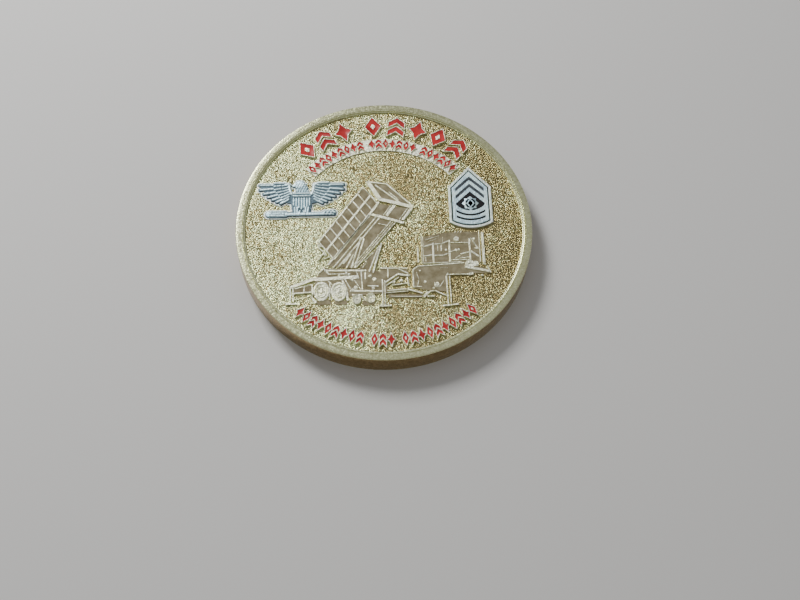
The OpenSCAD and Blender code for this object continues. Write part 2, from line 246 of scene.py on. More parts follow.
def mottled(material, scale, detail, colours, shine=None):
    """Colours from one noise, and the roughness from it too, between the two values of shine."""
    noise = texture(material, "noise", scale, detail)
    spread(material, noise.outputs["Fac"], "Base Color", colours)
    if shine:
        smoothest, roughest = shine
        spread(material, noise.outputs["Fac"], "Roughness",
               [(0.3, grey(smoothest)), (0.7, grey(roughest))])
    return noise


def rough_skin(material, scale, detail, height, strength):
    """A bump of this height from a noise of its own."""
    noise = texture(material, "noise", scale, detail)
    grain(material, noise.outputs["Fac"], height, strength)
    return noise


# Sand-blasted field: fine sharp grain, with broad patches where the plating is thinner and browner,
# and painted shade that makes it steadily darker and browner towards +X
blasted_gold = metal("blasted_gold", (0.78, 0.70, 0.40), 0.3)
patches = texture(blasted_gold, "noise", 110, 4)
craters = texture(blasted_gold, "cells", 3700, 0)
# The X coordinate fed into the colour is painted shade, darkening the field towards +X
across = node_between(blasted_gold, "ShaderNodeSeparateXYZ",
                      blasted_gold.node_tree.nodes["Texture Coordinate"].outputs["Object"])
tone_and_painted_shade = sum_of(blasted_gold, across.outputs["X"], 8, patches.outputs["Fac"])
speckles_tone_and_shade = sum_of(blasted_gold, craters.outputs["Color"], 0.75, tone_and_painted_shade.outputs["Value"])
spread(blasted_gold, speckles_tone_and_shade.outputs["Value"], "Base Color",
       [(0.42, (0.84, 0.94, 0.54)), (0.82, (0.60, 0.60, 0.30)), (1.0, (0.34, 0.28, 0.12))])
shot = texture(blasted_gold, "noise", 4200, 2)
spread(blasted_gold, shot.outputs["Fac"], "Roughness", [(0.35, grey(0.15)), (0.65, grey(0.3))])
grain(blasted_gold, shot.outputs["Fac"], 0.2 * MM, 1.0)
pits = texture(blasted_gold, "cells", 3200, 0)
grain(blasted_gold, pits.outputs["Distance"], 0.07 * MM, 1.0)

# Rim and edge: burnished by the collar, then lightly pitted and rubbed by handling
rim_gold = metal("rim_gold", (0.76, 0.62, 0.34), 0.3)
mottled(rim_gold, 2600, 3, [(0.3, (0.80, 0.80, 0.45)), (0.6, (0.92, 0.95, 0.58))], (0.18, 0.34))
rough_skin(rim_gold, 3900, 2, 0.035 * MM, 0.9)

# Side edge: drawn smooth through the collar, with faint upright drag marks; its dark brown colour is a
# painted reflection of dark surroundings
edge_gold_dark_reflection = metal("edge_gold_dark_reflection", (0.52, 0.38, 0.17), 0.24)
mottled(edge_gold_dark_reflection, 1300, 5, [(0.3, (0.35, 0.23, 0.09)), (0.7, (0.53, 0.39, 0.18))], (0.16, 0.34))
drag = rough_skin(edge_gold_dark_reflection, 3000, 2, 0.02 * MM, 0.7)
upright = node_between(edge_gold_dark_reflection, "ShaderNodeMapping",
                       edge_gold_dark_reflection.node_tree.nodes["Texture Coordinate"].outputs["Object"])
upright.inputs["Scale"].default_value = (1, 1, 0.12)
edge_gold_dark_reflection.node_tree.links.new(upright.outputs["Vector"], drag.inputs["Vector"])

body.data.materials.clear()
for material in (blasted_gold, rim_gold, edge_gold_dark_reflection):
    body.data.materials.append(material)
for face in body.data.polygons:
    out_from_middle = math.hypot(face.center.x, face.center.y)
    on_field = out_from_middle < step_r - 0.05 * MM
    # The upright side faces take the edge gold with its painted reflection
    on_edge = abs(face.normal.z) < 0.3 and out_from_middle > rim_r + 0.5 * rim_w
    face.material_index = 0 if on_field else 2 if on_edge else 1


# ------------------------------------------------------------
# The reverse's relief: a raised ring and a plain compass star with ridged points. The second die
# strikes them with the body, so they are the same metal and plating.
# ------------------------------------------------------------
reverse_lift = 0.25 * MM
ring_out = 18.6 * MM
ring_w = 0.6 * MM
star_size = 25 * MM

bright_gold = metal("bright_gold", (0.94, 0.88, 0.62), 0.36)
mottled(bright_gold, 900, 4, [(0.35, (0.90, 0.91, 0.62)), (0.6, (0.98, 1.0, 0.80))], (0.34, 0.5))
rough_skin(bright_gold, 4000, 2, 0.17 * MM, 1.0)


def finish(piece, material, node=None):
    """One material, the root body, and the CAD node that the piece stands for, if any."""
    piece.data.materials.clear()
    piece.data.materials.append(material)
    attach(piece, "root")
    if node:
        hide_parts(node)


ring_in = ring_out - ring_w
ring_low = field_depth - reverse_lift
ring_soft = 0.12 * MM
ring_profile = (
    [(ring_in, field_depth + sunk)]
    + corner(ring_in + ring_soft, ring_low + ring_soft, ring_soft, 180, 270)
    + corner(ring_out - ring_soft, ring_low + ring_soft, ring_soft, -90, 0)
    + [(ring_out, field_depth + sunk), (ring_in, field_depth + sunk)]
)
ring = turned("reverse_ring", ring_profile, 192)
smooth(ring, 50)
finish(ring, bright_gold)


def ridged_star(name, size, waist, turn):
    """A star of four ridged points whose ridges fall from its middle to its tips."""
    bpy.ops.object.select_all(action="DESELECT")
    bpy.ops.mesh.primitive_cone_add(
        vertices=8, radius1=size / 2, radius2=0, depth=reverse_lift,
        location=(0, 0, field_depth - reverse_lift / 2), rotation=(math.pi, 0, turn),
    )
    star = bpy.context.active_object
    star.name = name
    apply_place()
    open_mesh(star, "DESELECT")
    bpy.ops.object.mode_set(mode="OBJECT")
    # Every second corner of the base is drawn in to the waist between two points
    for vertex in star.data.vertices:
        bearing = math.degrees(math.atan2(vertex.co.y, vertex.co.x) - turn) % 90
        vertex.select = vertex.co.xy.length > 0.1 * size and 20 < bearing < 70
    bpy.ops.object.mode_set(mode="EDIT")
    share = waist * math.sqrt(2) / (size / 2)
    bpy.ops.transform.resize(value=(share, share, 1), center_override=(0, 0, 0))
    bpy.ops.mesh.select_all(action="SELECT")
    bpy.ops.transform.translate(value=(0, 0, 0.02 * MM))
    close_mesh()
    return star


compass = joined("compass_star", [
    ridged_star("long_points", star_size, star_size * 0.09, 0),
    ridged_star("short_points", star_size * 0.66, star_size * 0.66 * 0.12, math.radians(45)),
])
finish(compass, bright_gold)


# ------------------------------------------------------------
# Title: eight ornaments in an arc, each a gold wall struck up from the field round a recess, which
# is filled with red soft enamel and baked, so that the enamel dries a little below its wall.
# ------------------------------------------------------------
wall_lift = 0.36 * MM
recess_depth = 0.24 * MM
enamel_sink = 0.08 * MM
title_full = 0.08 * MM
wall_top = field_z + wall_lift
title_angles = (-40, -29.6, -19.4, -4.4, 7.2, 18, 28.8, 40)
title_mid_r = coin_r - 4.65 * MM
title_w = 2.7 * MM
title_h = 3.7 * MM
title_stroke = 0.72 * MM
title_wall = 0.22 * MM


def lozenge(w, h, grow):
    """Outline of an upright lozenge, its sides moved out by grow."""
    a, b = w / 2, h / 2
    reach = grow * math.hypot(a, b)
    return [(a + reach / b, 0), (0, b + reach / a), (-a - reach / b, 0), (0, -b - reach / a)]


def four_point_star(w, h, waist, grow):
    """Outline of a star of four points, its waist corners this far out along X and Y."""
    q = waist + grow
    x, y = w / 2 + 2 * grow, h / 2 + 2 * grow
    return [(x, 0), (q, q), (0, y), (-q, q), (-x, 0), (-q, -q), (0, -y), (q, -q)]


def chevron(w, rise, thick, low, grow):
    """Outline of a chevron that points up, its feet at the height low."""
    slope = rise / (w / 2)
    up = grow * math.hypot(1, slope)
    x, y = w / 2 + grow, low - slope * grow
    return [(-x, y - up), (0, low + rise - up), (x, y - up),
            (x, y + thick + up), (0, low + rise + thick + up), (-x, y + thick + up)]


def ornament_outlines(kind, w, h, stroke, grow):
    """Outlines of ornament 0 (lozenge), 1 (four-pointed star) or 2 (double chevron)."""
    if kind == 0:
        return [lozenge(w, h, grow)]
    if kind == 1:
        return [four_point_star(w, h, stroke * 0.75, grow)]
    rise = h * 0.27
    return [chevron(w, rise, h / 2 - rise, low, grow) for low in (-h / 2, 0)]


def plate(name, outline, low, high):
    """A plate with this outline, extruded from low to high, its top face left selected."""
    bpy.ops.object.select_all(action="DESELECT")
    bpy.ops.mesh.primitive_circle_add(vertices=len(outline), radius=1 * MM, fill_type="NGON")
    piece = bpy.context.active_object
    piece.name = name
    for vertex, (x, y) in zip(piece.data.vertices, outline):
        vertex.co = (x, y, low)
    open_mesh(piece)
    bpy.ops.mesh.extrude_region_move(TRANSFORM_OT_translate={"value": (0, 0, high - low)})
    return piece


def solid(name, outline, low, high):
    """A plate that needs no more work on its top, closed."""
    piece = plate(name, outline, low, high)
    close_mesh()
    return piece


def step_top(inset, rise):
    """Insets the selected top face and moves the inner part up or down, with upright sides."""
    bpy.ops.mesh.inset(thickness=inset, depth=0)
    bpy.ops.mesh.extrude_region_move(TRANSFORM_OT_translate={"value": (0, 0, rise)})


def walled_recess(outline, wall):
    """A wall round a recess: the plate's top is inset by the wall and pushed down."""
    piece = plate("wall", outline, field_z - sunk, wall_top)
    step_top(wall, -recess_depth)
    close_mesh()
    return piece


def ornament_walls(kind, w, h, stroke, wall, full, soft):
    """The gold walls of one ornament, upright at the origin, the enamel fuller by this much."""
    outlines = ornament_outlines(kind, w, h, stroke, wall)
    parts = [walled_recess(outline, wall - full) for outline in outlines]
    if kind == 0:
        # The bare metal lozenge that stands in the middle of a lozenge ring
        recess_floor = wall_top - recess_depth
        parts.append(solid("island", lozenge(w, h, -stroke), recess_floor - sunk, wall_top))
    return rounded(joined("ornament_walls", parts), soft)


def ornament_fill(kind, w, h, stroke, full, dish):
    """The enamel of one ornament: level with its recess, its top drawn down in a shallow dish."""
    parts = []
    for outline in ornament_outlines(kind, w, h, stroke, full):
        fill = plate("fill", outline, wall_top - recess_depth, wall_top - enamel_sink)
        bpy.ops.mesh.inset(thickness=stroke * 0.14, depth=0)
        bpy.ops.mesh.inset(thickness=stroke * 0.14, depth=-dish)
        close_mesh()
        parts.append(fill)
    fill = joined("ornament_fill", parts)
    smooth(fill, 45)
    return fill


def settle(piece, turn, x, y):
    """Turns a piece about Z, moves it to (x, y) and applies both."""
    piece.rotation_euler = (0, 0, turn)
    piece.location = (x, y, 0)
    apply_place()
    return piece


def set_at_clock(pattern, angle, r, name):
    """A copy of a piece, with its own mesh, set at a clock angle and radius on the coin."""
    only(pattern)
    bpy.ops.object.duplicate()
    piece = bpy.context.active_object
    piece.name = name
    turn = -math.radians(angle)
    return settle(piece, turn, -r * math.sin(turn), r * math.cos(turn))


def remove(*pieces):
    """Takes away the patterns or cutters that aren't part of the coin."""
    only(*pieces)
    bpy.ops.object.delete()


# Soft enamel: opaque gloss paint with a faint orange-peel skin and darker pooled patches
red_enamel = bpy.data.materials.new("red_enamel")
red_enamel.use_nodes = True
red_shader = red_enamel.node_tree.nodes["Principled BSDF"]
red_shader.inputs["Roughness"].default_value = 0.22
red_shader.inputs["Specular IOR Level"].default_value = 0.6
red_shader.inputs["Coat Weight"].default_value = 0.35
red_shader.inputs["Coat Roughness"].default_value = 0.1
mottled(red_enamel, 700, 3, [(0.35, (0.44, 0.012, 0.013)), (0.6, (0.68, 0.034, 0.032))])
rough_skin(red_enamel, 2400, 2, 0.02 * MM, 0.35)

title_patterns = [
    (ornament_walls(kind, title_w, title_h, title_stroke, title_wall, title_full, 0.035 * MM),
     ornament_fill(kind, title_w, title_h, title_stroke, title_full, 0.03 * MM))
    for kind in range(3)
]
title_walls = []
for i, angle in enumerate(title_angles):
    walls, fill = title_patterns[(i * 2) % 3]
    title_walls.append(set_at_clock(walls, angle, title_mid_r, f"title_wall_{i + 1}"))
    red = set_at_clock(fill, angle, title_mid_r, f"title_fill_{i + 1}")
    finish(red, red_enamel, f"title_enamel_{i + 1}")
finish(joined("title_walls", title_walls), bright_gold)
remove(*[piece for pair in title_patterns for piece in pair])


# ------------------------------------------------------------
# The two small arcs: rows of little walled ornaments in groups, filled with the same red enamel.
# The upper row stands on a raised band, and the lower row stands on the field itself.
# ------------------------------------------------------------
small_w = 0.92 * MM
small_stroke = 0.26 * MM
small_full = 0.09 * MM
group_gap = 0.7
upper_row = {
    "node": "upper_legend_enamel", "groups": (9, 7, 6), "sides": ("left", "middle", "right"),
    "span": 93, "mid_r": coin_r - 8.4 * MM, "h": 1.75 * MM, "wall": 0.17 * MM, "below": False,
}
lower_row = {
    "node": "lower_legend_enamel", "groups": (10, 3, 9), "sides": ("right", "middle", "left"),
    "span": 82, "mid_r": coin_r - 3.75 * MM, "h": 2.0 * MM, "wall": 0.2 * MM, "below": True,
}


def cell_angle(row, group, i):
    """Clock angle of cell i of a group, with gaps between the groups."""
    count = sum(row["groups"])
    pitch = row["span"] / (count - 1 + group_gap * (len(row["groups"]) - 1))
    return -row["span"] / 2 + pitch * (sum(row["groups"][:group]) + i + group_gap * group)


for row in (upper_row, lower_row):
    patterns = [
        (ornament_walls(kind, small_w, row["h"], small_stroke, row["wall"], small_full, 0.02 * MM),
         ornament_fill(kind, small_w, row["h"], small_stroke, small_full, 0.012 * MM))
        for kind in range(3)
    ]
    row_walls = []
    reach = -row["mid_r"] if row["below"] else row["mid_r"]
    for group, side in enumerate(row["sides"]):
        fills = []
        for i in range(row["groups"][group]):
            walls, fill = patterns[(i + group) % 3]
            angle = cell_angle(row, group, i)
            row_walls.append(set_at_clock(walls, angle, reach, "cell_wall"))
            fills.append(set_at_clock(fill, angle, reach, "cell_fill"))
        red = joined(row["node"].replace("enamel", "fill") + "_" + side, fills)
        finish(red, red_enamel, row["node"] + "_" + side)
    finish(joined(row["node"].replace("enamel", "walls"), row_walls), bright_gold)
    remove(*[piece for pair in patterns for piece in pair])

# The band is one rectangle swept along the arc, a little lower than the walls that stand on it
band_in = upper_row["mid_r"] - upper_row["h"] / 2 - 0.55 * MM
band_out = upper_row["mid_r"] + upper_row["h"] / 2 + 0.2 * MM
band_half = math.radians(upper_row["span"] / 2 + 2.4)
band_top = wall_top - 0.2 * MM
bpy.ops.object.select_all(action="DESELECT")
bpy.ops.mesh.primitive_plane_add(
    size=1, location=(0, (band_in + band_out) / 2, (field_z - sunk + band_top) / 2),
    rotation=(0, math.pi / 2, 0),
)
band = bpy.context.active_object
band.name = "upper_band"
band.scale = (band_top - field_z + sunk, band_out - band_in, 1)
apply_place()
open_mesh(band)
bpy.ops.transform.rotate(value=-band_half, orient_axis="Z", center_override=(0, 0, 0))
bpy.ops.mesh.spin(steps=64, angle=2 * band_half, center=(0, 0, 0), axis=(0, 0, 1))
close_mesh(merge=touching)
rounded(band, 0.05 * MM, 3)
finish(band, bright_gold)


# ------------------------------------------------------------
# Canister: a raised lattice box that leans back over the trailer, struck in the body. Its ribs are
# sharp and bright, and the cells between them are flat polished panels, darker and browner as a painted
# reflection.
# ------------------------------------------------------------
plate_lift = 0.12
bar_lift = 0.26
bar_draft = 0.04
bar_soft = 0.018 * MM
panel_soft = 0.03 * MM

# Polished gold: darker and browner than the ribs, a painted reflection of dark surroundings in the flat
# panels
polished_gold = metal("polished_gold", (0.64, 0.55, 0.34), 0.16)
mottled(polished_gold, 800, 4, [(0.35, (0.54, 0.46, 0.27)), (0.62, (0.76, 0.68, 0.44))], (0.1, 0.24))
rough_skin(polished_gold, 2600, 2, 0.01 * MM, 0.6)


def in_mm(points):
    """The same points in metres."""
    return [(x * MM, y * MM) for x, y in points]


def bar(x0, y0, x1, y1, width, lift=bar_lift):
    """A struck bar between two points, all in mm, its top drawn in so that its sides lean."""
    high = field_z + lift * MM
    low = field_z - sunk
    length = math.hypot(x1 - x0, y1 - y0)
    bpy.ops.object.select_all(action="DESELECT")
    bpy.ops.mesh.primitive_cube_add(
        size=1, location=(0, 0, (low + high) / 2), scale=(length * MM, width * MM, high - low),
    )
    piece = bpy.context.active_object
    apply_place()
    for vertex in piece.data.vertices:
        vertex.select = vertex.co.z > field_z
    bpy.ops.object.mode_set(mode="EDIT")
    drawn_in = (1 - 2 * bar_draft / length, 1 - 2 * bar_draft / width, 1)
    bpy.ops.transform.resize(value=drawn_in, center_override=(0, 0, 0))
    bpy.ops.object.mode_set(mode="OBJECT")
    turn = math.atan2(y1 - y0, x1 - x0)
    return settle(piece, turn, (x0 + x1) / 2 * MM, (y0 + y1) / 2 * MM)


def panel(points, lift=plate_lift):
    """A flat polished panel with its corners in mm."""
    return solid("panel", in_mm(points), field_z - sunk, field_z + lift * MM)


def relief(name, bars, bosses=()):
    """Joins struck bars and bosses and rounds their edges, as one bright piece."""
    parts = [bar(*row) for row in bars] + [boss(*row) for row in bosses]
    finish(rounded(joined(name, parts), bar_soft), bright_gold)


def panels(name, outlines):
    """Joins flat panels and softens their edges, as one polished piece."""
    parts = [panel(*row) for row in outlines]
    finish(rounded(joined(name, parts), panel_soft), polished_gold)


def boss(x, y, r, lift=bar_lift, tall=1.0, hole=0.0):
    """A round boss in mm with a stepped top, an upright oval where tall is over 1."""
    ring = [math.radians(a) for a in range(0, 360, 15)]
    outline = [(x + r * math.cos(a), y + r * tall * math.sin(a)) for a in ring]
    piece = plate("boss", in_mm(outline), field_z - sunk, field_z + lift * MM)
    step_top(r * 0.3 * MM, 0.04 * MM)
    if hole:
        step_top((r * 0.7 - hole) * MM, -0.14 * MM)
    close_mesh()
    return piece


far_corner = Vector((-3.55, 7.9))
lengthwise = Vector((-0.575, -0.818))
crosswise = Vector((0.59, -0.807))
canister_len = 13.3
canister_w = 4.3
canister_rows = 8


def on_canister(a, b):
    """The point in mm this far along and across the canister from its far corner."""
    return (*(far_corner + a * lengthwise + b * crosswise),)


canister_bars = [
    (*on_canister(-0.1, b), *on_canister(canister_len, b), w, bar_lift + 0.04)
    for b, w in ((0, 0.3), (canister_w / 2, 0.4), (canister_w, 0.42))
]
for i in range(canister_rows + 1):
    a = canister_len * i / canister_rows
    canister_bars.append((*on_canister(a, 0), *on_canister(a, canister_w), 0.26, bar_lift))
mouth_bars = [
    (-2.8, 9.1, -0.6, 5.3, 0.75, bar_lift + 0.07), (-0.8, 5.4, 5.1, 3.65, 0.7, bar_lift + 0.07),
    (-2.6, 9.0, 0.6, 8.5, 0.3), (0.5, 8.6, 5.1, 3.8, 0.34), (-1.5, 8.4, 2.9, 4.6, 0.3),
    (0.9, 6.9, 2.6, 5.2, 0.24), (-0.8, 4.9, -2.5, 2.3, 0.42), (1.9, 4.2, 0.4, 2.0, 0.6),
    (1.35, 4.3, -0.1, 2.1, 0.2), (4.9, 3.6, 3.2, 1.1, 0.5), (4.3, 3.7, 2.6, 1.2, 0.2),
    (-2.5, 2.4, 3.4, 0.5, 0.55, bar_lift + 0.07), (-3.3, 7.5, -2.1, 5.9, 0.22),
    (-2.1, 6.2, -1.3, 4.9, 0.22),
]
foot_bars = [
    (-11.4, -3.2, -10.6, -2.5, 0.26), (-11.2, -4.2, -10.3, -5.1, 0.26), (-11.4, -3.3, -11.2, -4.3, 0.26),
    (-10.9, -5.9, -10.1, -4.9, 0.26), (-10.4, -6.4, -9.3, -5.9, 0.24), (-11.3, -6.6, -10.7, -5.8, 0.2),
]
foot_bosses = [(-10.85, -3.75, 0.26), (-10.1, -5.5, 0.24)]
relief("canister_ribs", canister_bars + mouth_bars + foot_bars, foot_bosses)
panels("canister_panels", [
    ([on_canister(0, 0), on_canister(0, canister_w),
      on_canister(canister_len, canister_w), on_canister(canister_len, 0)],),
    ([(-2.8, 9.1), (0.6, 8.5), (5.2, 3.7), (-0.6, 5.3)], plate_lift - 0.02),
    ([(-1.3, 4.6), (5.0, 3.4), (3.05, 0.95), (-2.4, 2.5)], plate_lift + 0.02),
])


# ------------------------------------------------------------
# Rails and struts: the long double rails under the canister and the rams that lift it, struck as
# bright lines over one polished panel.
# ------------------------------------------------------------
relief("rails_and_struts", [
    (-2.3, 2.4, -9.7, -7.6, 0.36, bar_lift + 0.04), (-1.3, 1.9, -8.8, -8.1, 0.26),
    (-0.75, 1.7, -8.0, -8.1, 0.26), (1.25, 1.05, -5.7, -8.1, 0.22), (1.65, 0.95, -5.3, -8.1, 0.18),
    (2.05, 0.8, -4.9, -8.1, 0.22), (0.35, 0.1, -1.0, 0.5, 0.2),
    (-4.0, -2.2, -5.75, -8.2, 0.3, bar_lift + 0.06), (-3.5, -2.4, -5.1, -8.2, 0.3, bar_lift + 0.06),
    (-0.95, -3.9, -2.75, -9.0, 0.26, bar_lift + 0.06), (-0.55, -3.4, -2.1, -9.2, 0.34, bar_lift + 0.06),
    (-5.3, -5.5, -6.6, -8.2, 0.26), (-5.8, -5.4, -7.1, -7.4, 0.34), (-6.3, -5.9, -7.3, -7.3, 0.24),
    (-3.4, -6.7, -3.1, -7.2, 0.18), (-3.1, -7.2, -3.9, -8.2, 0.2), (-1.9, -5.2, -3.5, -6.8, 0.2),
])
panels("rail_panel", [
    ([(-2.4, 2.3), (2.1, 0.8), (-4.9, -8.2), (-9.8, -7.7)], plate_lift - 0.04),
    ([(-1.6, -4.6), (-0.9, -4.6), (-2.4, -8.6), (-4.6, -8.4)], plate_lift - 0.06),
])


# ------------------------------------------------------------
# Trailer: a low deck on two large wheels with smaller gear behind them, a tail arm with its leg, a
# middle leg and a drawbar. Wheels are oval rings round a hub, because they are drawn at a slant.
# ------------------------------------------------------------
relief("trailer_bars", [
    (-15.9, -11.7, -11.8, -10.1, 0.6), (-15.95, -11.4, -15.85, -14.6, 0.26),
    (-15.5, -11.6, -15.4, -14.5, 0.26), (-16.7, -14.8, -14.9, -14.75, 0.4),
    (-15.3, -12.0, -12.3, -11.2, 0.24), (-15.3, -12.85, -12.3, -12.65, 0.3),
    (-13.6, -11.5, -13.7, -12.7, 0.22), (-12.3, -11.1, -12.2, -13.4, 0.3),
    (-12.5, -13.5, -11.6, -14.7, 0.45),
    (-11.9, -10.3, -4.6, -9.9, 0.7), (-10.3, -8.6, -3.2, -8.7, 0.36), (-10.4, -8.2, -9.4, -9.4, 0.3),
    (-11.3, -9.2, -10.2, -8.0, 0.24), (-9.4, -9.3, -5.9, -9.3, 0.24), (-6.8, -8.7, -6.1, -9.6, 0.24),
    (-9.6, -10.6, -8.9, -11.4, 0.3), (-9.35, -11.0, -9.35, -14.2, 0.3), (-7.4, -10.2, -6.4, -12.5, 0.34),
    (-6.9, -10.2, -5.9, -12.1, 0.22), (-6.5, -12.6, -6.4, -14.4, 0.4), (-6.0, -12.5, -0.5, -12.7, 0.4),
    (-5.7, -13.3, -3.9, -13.3, 0.3), (-4.9, -8.8, -4.5, -10.2, 0.24), (-4.1, -8.7, -3.9, -12.4, 0.24),
    (-3.4, -9.0, -3.4, -10.4, 0.3), (-5.3, -10.4, -4.2, -12.3, 0.2), (-3.1, -11.6, -1.2, -11.7, 0.3),
    (-0.55, -10.4, -0.55, -15.3, 0.26), (-0.15, -10.6, -0.15, -15.3, 0.22), (-1.2, -15.4, 0.9, -15.4, 0.36),
    (-5.6, -14.1, -4.9, -13.5, 0.24), (-5.0, -14.8, -4.3, -14.0, 0.24), (-4.1, -13.5, -3.3, -14.5, 0.24),
    (-0.3, -11.2, 2.0, -9.5, 0.3), (0.0, -11.7, 2.3, -10.0, 0.22), (2.0, -9.5, 4.2, -9.8, 0.4),
    (0.4, -8.3, 0.4, -10.2, 0.24), (-0.9, -8.3, 3.7, -8.4, 0.24), (2.2, -8.5, 3.9, -9.4, 0.24),
    (0.2, -12.6, 3.5, -12.3, 0.26), (3.5, -12.3, 6.2, -13.2, 0.3), (0.0, -13.0, 3.8, -12.7, 0.22),
    (0.8, -13.7, 6.0, -13.8, 0.2), (1.0, -11.6, 3.6, -11.2, 0.24), (3.6, -10.0, 3.9, -11.8, 0.24),
], [
    (-5.0, -11.9, 0.34), (-5.5, -12.4, 0.3), (-1.9, -10.4, 0.34), (-2.6, -9.8, 0.26), (-5.6, -10.5, 0.22),
    (-2.1, -12.1, 0.24), (1.3, -11.0, 0.3), (2.6, -10.7, 0.26), (-7.8, -9.6, 0.2),
])
panels("trailer_panels", [
    ([(-15.3, -12.9), (-12.2, -12.7), (-12.2, -11.1), (-15.3, -11.9)],),
    ([(-11.9, -12.4), (-11.9, -10.1), (-10.1, -8.1), (-3.4, -8.3), (0.3, -9.0), (0.3, -13.0),
      (-6.5, -13.6)],),
    ([(-11.6, -14.3), (-9.2, -14.0), (-9.0, -14.9), (-11.4, -15.1)], plate_lift - 0.04),
    ([(-8.7, -14.3), (-6.5, -14.2), (-6.4, -15.0), (-8.4, -15.0)], plate_lift - 0.04),
    ([(-4.0, -14.3), (-1.8, -14.3), (-1.9, -15.1), (-3.8, -15.2)], plate_lift - 0.04),
    ([(0.3, -13.1), (6.0, -13.3), (6.0, -13.9), (0.5, -13.9)], plate_lift - 0.04),
    ([(-0.9, -8.4), (3.7, -8.4), (3.8, -9.6), (2.2, -9.6), (-0.3, -11.0)], plate_lift - 0.04),
])


def wheel(name, x, y, wide, tall):
    """An upright oval wheel in mm: a tyre, a dished rim with nuts round it, and a hub."""
    rise = bar_lift * MM
    profile = [(0, -sunk), (0, rise + 0.04 * MM)]
    for share, lift in ((0.14, 0.04), (0.2, 0.0), (0.22, -0.1), (0.42, -0.12), (0.46, 0.0), (0.58, 0.02),
                        (0.62, -0.12), (0.72, -0.12), (0.78, 0.02), (0.9, 0.06), (0.98, 0.0), (1.0, -0.1)):
        profile.append((share * tall * MM, rise + lift * MM))
    profile += [(tall * MM, -sunk), (0, -sunk)]
    piece = turned("tyre", profile, 48)
    smooth(piece, 40)
    piece.scale = (wide / tall, 1, 1)
    piece.location = (x * MM, y * MM, field_z)
    apply_place()
    nuts = []
    for k in range(6):
        turn = math.radians(60 * k + 15)
        nuts.append(boss(x + 0.32 * wide * math.cos(turn), y + 0.32 * tall * math.sin(turn),
                         0.07 * tall, bar_lift - 0.08))
    finish(joined(name, [piece] + nuts), bright_gold)


wheel("rear_wheel", -10.75, -12.55, 1.36, 1.85)
wheel("front_wheel", -7.8, -12.65, 1.36, 1.85)
wheel("rear_idler", -4.9, -14.1, 0.75, 0.95)
wheel("front_idler", -2.55, -13.9, 0.8, 1.0)


# ------------------------------------------------------------
# Cab: an upright box with barred windows and a door, over a lower body with a leg and bolts. Its
# walls are polished panels and its window bars, hinge and knobs stand up from them.
# ------------------------------------------------------------
relief("cab_bars", [
    (4.65, -12.1, 4.65, -8.6, 0.28), (4.6, -8.7, 5.4, -8.1, 0.28), (5.3, -8.05, 13.4, -7.5, 0.26),
    (5.2, -9.2, 5.6, -10.6, 0.16), (5.6, -10.6, 5.3, -11.8, 0.16), (4.7, -11.9, 6.1, -11.9, 0.2),
    (13.4, -8.3, 17.6, -9.2, 0.5, bar_lift + 0.06), (17.2, -8.0, 17.75, -9.5, 0.3),
    (10.6, -9.4, 10.2, -9.9, 0.3),
    (10.6, -9.7, 14.0, -9.7, 0.24), (13.9, -9.8, 14.8, -9.5, 0.5), (10.2, -9.9, 10.35, -15.3, 0.3),
    (10.75, -9.9, 10.85, -15.2, 0.24), (9.4, -15.6, 12.1, -15.3, 0.36), (6.2, -13.9, 7.2, -12.9, 0.5),
    (7.2, -12.9, 8.4, -12.7, 0.3), (8.3, -12.8, 10.1, -13.7, 0.26), (6.9, -13.8, 8.2, -13.7, 0.3),
    (6.25, -7.5, 6.25, -2.1, 0.16), (6.5, -7.4, 6.5, -2.3, 0.14), (5.6, -7.3, 5.6, -4.2, 0.3, 0.1),
    (16.15, -7.4, 16.15, -1.4, 0.2), (16.75, -7.9, 16.75, -1.5, 0.5, bar_lift - 0.04),
    (8.2, -7.6, 8.2, -3.5, 0.38), (11.0, -7.4, 11.0, -3.0, 0.36), (14.45, -7.2, 14.45, -2.7, 0.34),
    (6.5, -4.3, 8.2, -3.75, 0.24), (8.2, -3.8, 9.6, -3.75, 0.24), (9.6, -3.75, 11.0, -3.15, 0.24),
    (11.0, -3.55, 14.4, -3.6, 0.24), (6.5, -6.15, 8.2, -5.85, 0.24), (8.2, -6.0, 9.9, -6.0, 0.24),
    (9.9, -6.0, 11.0, -5.5, 0.24), (11.0, -6.9, 14.4, -6.9, 0.24), (11.1, -5.3, 11.9, -5.1, 0.2),
    (11.9, -6.6, 12.8, -6.0, 0.2), (12.8, -5.8, 14.4, -5.4, 0.26), (12.6, -6.6, 14.3, -6.4, 0.2),
    (14.7, -2.6, 15.8, -4.7, 0.24), (15.3, -4.7, 16.1, -4.75, 0.26), (14.6, -5.2, 15.9, -6.3, 0.36),
    (9.0, -3.95, 9.0, -5.1, 0.16), (9.6, -3.9, 9.6, -5.15, 0.22), (6.9, -2.9, 9.4, -2.1, 0.16, 0.18),
    (9.9, -2.3, 9.9, -3.3, 0.12, 0.18), (6.9, -6.3, 6.9, -7.2, 0.16), (7.3, -3.3, 9.3, -2.5, 0.12, 0.18),
    (6.3, -7.5, 13.0, -7.3, 0.2), (8.2, -11.1, 8.2, -11.95, 0.16), (8.2, -11.95, 9.1, -11.95, 0.16),
    (9.1, -11.95, 9.7, -10.9, 0.16), (9.2, -8.4, 10.6, -8.4, 0.12, 0.18), (12.0, -1.6, 12.2, -1.2, 0.16),
    (12.5, -1.6, 12.7, -1.2, 0.16), (13.0, -1.6, 13.2, -1.2, 0.16),
], [
    (12.25, -2.85, 0.45, 0.3, 1.0, 0.16), (8.6, -11.5, 0.36, 0.28, 1.0, 0.14), (10.4, -4.95, 0.2),
    (12.1, -5.0, 0.24), (12.55, -4.9, 0.2), (15.2, -2.85, 0.24), (14.3, -7.85, 0.8, 0.28, 1.0, 0.3),
    (15.3, -7.7, 0.5, 0.26), (6.6, -11.0, 0.22), (8.0, -12.25, 0.2), (5.8, -8.9, 0.16), (16.3, -9.95, 0.2),
])
